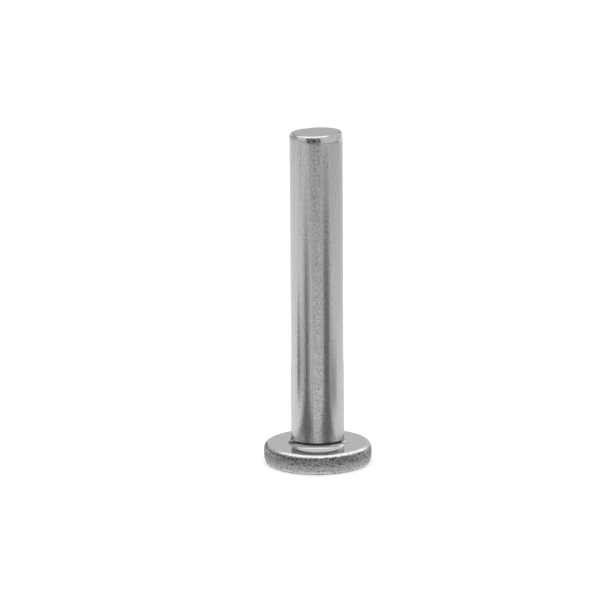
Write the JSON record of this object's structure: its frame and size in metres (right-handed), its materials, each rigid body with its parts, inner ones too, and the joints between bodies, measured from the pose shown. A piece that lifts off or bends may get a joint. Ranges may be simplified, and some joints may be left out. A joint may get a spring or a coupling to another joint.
{
  "type": "flat round head solid rivet",
  "caption": "Solid steel rivet: a flat disc head with a rounded rim, a plain drawn shank with a small flare at its root, and a slightly slanted cut end.",
  "frame": {"origin": "centre of the head's flat outer face, which the rivet stands on", "axes": "+Z along the shank, from the head towards the cut end"},
  "size_m": [0.0104, 0.0104, 0.032],
  "materials": {
    "stainless": "bare stainless steel: satin drawn shank, smooth pressed seat, coarse orange-peel grain on the rim"
  },
  "bodies": {
    "root": {"rivet": "stainless"}
  },
  "joints": []
}
